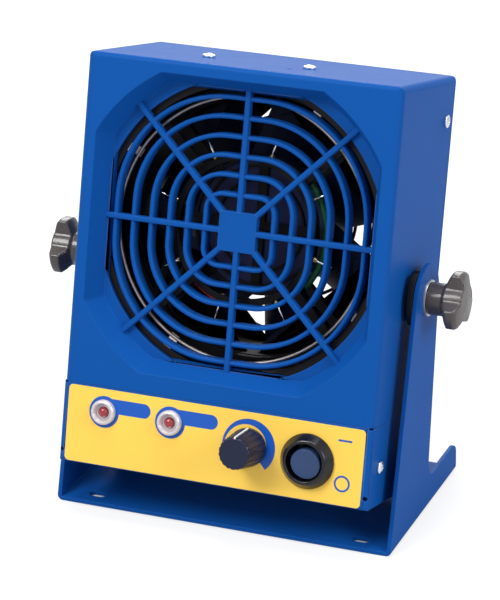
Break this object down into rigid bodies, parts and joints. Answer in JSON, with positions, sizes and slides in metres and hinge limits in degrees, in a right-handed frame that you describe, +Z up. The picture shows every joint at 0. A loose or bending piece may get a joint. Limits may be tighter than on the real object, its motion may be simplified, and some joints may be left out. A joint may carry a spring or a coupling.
{
  "type": "ionizing blower",
  "caption": "Benchtop ionizing air blower: a tilting box head with round outlet grille, fan, emitter needles and yellow control panel, on a folded sheet stand with clamp knobs.",
  "frame": {"origin": "centre of the four base slots on the underside of the base plate, at floor level", "axes": "+X to the right as the user faces the outlet, -Y the way the air leaves at the front, +Z up. The head is stored leaning 15 degrees back about the pivots at Y 3.15 mm, Z 103 mm."},
  "size_m": [0.1946, 0.136, 0.2024],
  "materials": {
    "blue_paint": "satin blue enamel",
    "blue_plastic": "satin blue moulding, fine grain",
    "yellow_overlay": "satin printed overlay",
    "black_plastic": "moulded black",
    "navy_plastic": "semi-gloss",
    "motor_paint": "satin",
    "rocker_plastic": "gloss",
    "white_plastic": "matte",
    "lens_red": "gloss lens",
    "chrome": "polished",
    "steel": "plated",
    "guard_wire": "black coated wire",
    "magnet": "bare ferrite",
    "brass": "plain",
    "copper": "enamelled copper wire",
    "board": "solder mask",
    "trimmer_blue": "gloss",
    "green_wire": "insulated lead",
    "red_wire": "insulated lead",
    "knob_casting": "grey-brown, fine grain"
  },
  "bodies": {
    "stand": {"stand": "blue_paint"},
    "head": {"front_cover": "blue_plastic", "rear_cover": "blue_plastic", "chassis": "steel", "control_panel": "blue_paint", "panel_overlay": "yellow_overlay", "lamp_bezels": "chrome", "warning_lamps": "lens_red", "lamp_nuts": "steel", "potentiometer": "steel", "pot_nut": "chrome", "switch_housing": "black_plastic", "switch_terminals": "brass", "emitter_carrier": "black_plastic", "emitter_needles": "chrome", "needle_sockets": "brass", "earth_ring": "chrome", "earth_clips": "brass", "high_voltage_lead": "green_wire", "sensing_lead": "red_wire", "fan_frame": "black_plastic", "motor_plate": "motor_paint", "fan_stator": "steel", "fan_coils": "copper", "fan_bearings": "chrome", "fan_driver_board": "board", "carrier_screws": "steel", "fan_screws": "steel", "fan_nuts": "steel", "rear_guard": "guard_wire", "balance_board": "board", "board_spacers": "brass", "trimmer_body": "trimmer_blue", "main_board": "board", "board_standoffs": "brass", "high_voltage_module": "black_plastic", "transformer_core": "steel", "transformer_windings": "copper", "capacitors": "black_plastic", "mains_inlet": "black_plastic", "inlet_pins": "chrome", "fuse_holder": "black_plastic", "fuse_cap": "black_plastic", "top_screws": "chrome", "side_screws": "chrome", "panel_screws": "chrome", "tilt_spacers": "black_plastic", "pivot_nuts": "steel"},
    "fan": {"fan_rotor": "navy_plastic", "fan_magnet": "magnet", "fan_shaft": "steel"},
    "flow_knob": {"flow_knob": "navy_plastic", "knob_pointer": "white_plastic", "pot_shaft": "steel"},
    "rocker": {"rocker": "rocker_plastic"},
    "trimmer": {"trimmer_rotor": "brass"},
    "clamp_right": {"clamp_knob_right": "knob_casting"},
    "clamp_left": {"clamp_knob_left": "knob_casting"},
    "washer_right": {"clamp_washer_right": "steel"},
    "washer_left": {"clamp_washer_left": "steel"}
  },
  "joints": [
    {"name": "head_tilt", "type": "hinge", "parent": "stand", "child": "head", "pos_m": [0, 0.00315, 0.103], "axis": [1, 0, 0], "range_deg": [-75, 105]},
    {"name": "clamp_slide_right", "type": "slide", "parent": "head", "child": "washer_right", "axis": [1, 0, 0], "range_m": [0, 0.0008]},
    {"name": "clamp_turn_right", "type": "hinge", "parent": "washer_right", "child": "clamp_right", "pos_m": [0.0945, 0.00315, 0.103], "axis": [1, 0, 0], "range_deg": [0, 360]},
    {"name": "clamp_slide_left", "type": "slide", "parent": "head", "child": "washer_left", "axis": [-1, 0, 0], "range_m": [0, 0.0008]},
    {"name": "clamp_turn_left", "type": "hinge", "parent": "washer_left", "child": "clamp_left", "pos_m": [-0.0945, 0.00315, 0.103], "axis": [-1, 0, 0], "range_deg": [0, 360]},
    {"name": "fan_spin", "type": "hinge", "parent": "head", "child": "fan", "pos_m": [0, 0.02697, 0.11888], "axis": [0, 0.9659, -0.2588], "continuous": true},
    {"name": "flow_knob_turn", "type": "hinge", "parent": "head", "child": "flow_knob", "pos_m": [0.0168, -0.06026, 0.04835], "axis": [0, -0.9659, 0.2588], "range_deg": [-135, 135]},
    {"name": "rocker_press", "type": "hinge", "parent": "head", "child": "rocker", "pos_m": [0.0442, -0.04918, 0.04331], "axis": [-1, 0, 0], "range_deg": [0, 20]},
    {"name": "balance_trimmer_turn", "type": "hinge", "parent": "head", "child": "trimmer", "pos_m": [0.014, 0.00814, 0.19349], "axis": [0, 0.2588, 0.9659], "range_deg": [-135, 135]}
  ],
  "couplings": [
    {"joint": "clamp_turn_right", "follows": "clamp_slide_right", "rad_per_m": 7854},
    {"joint": "clamp_turn_left", "follows": "clamp_slide_left", "rad_per_m": 7854}
  ]
}
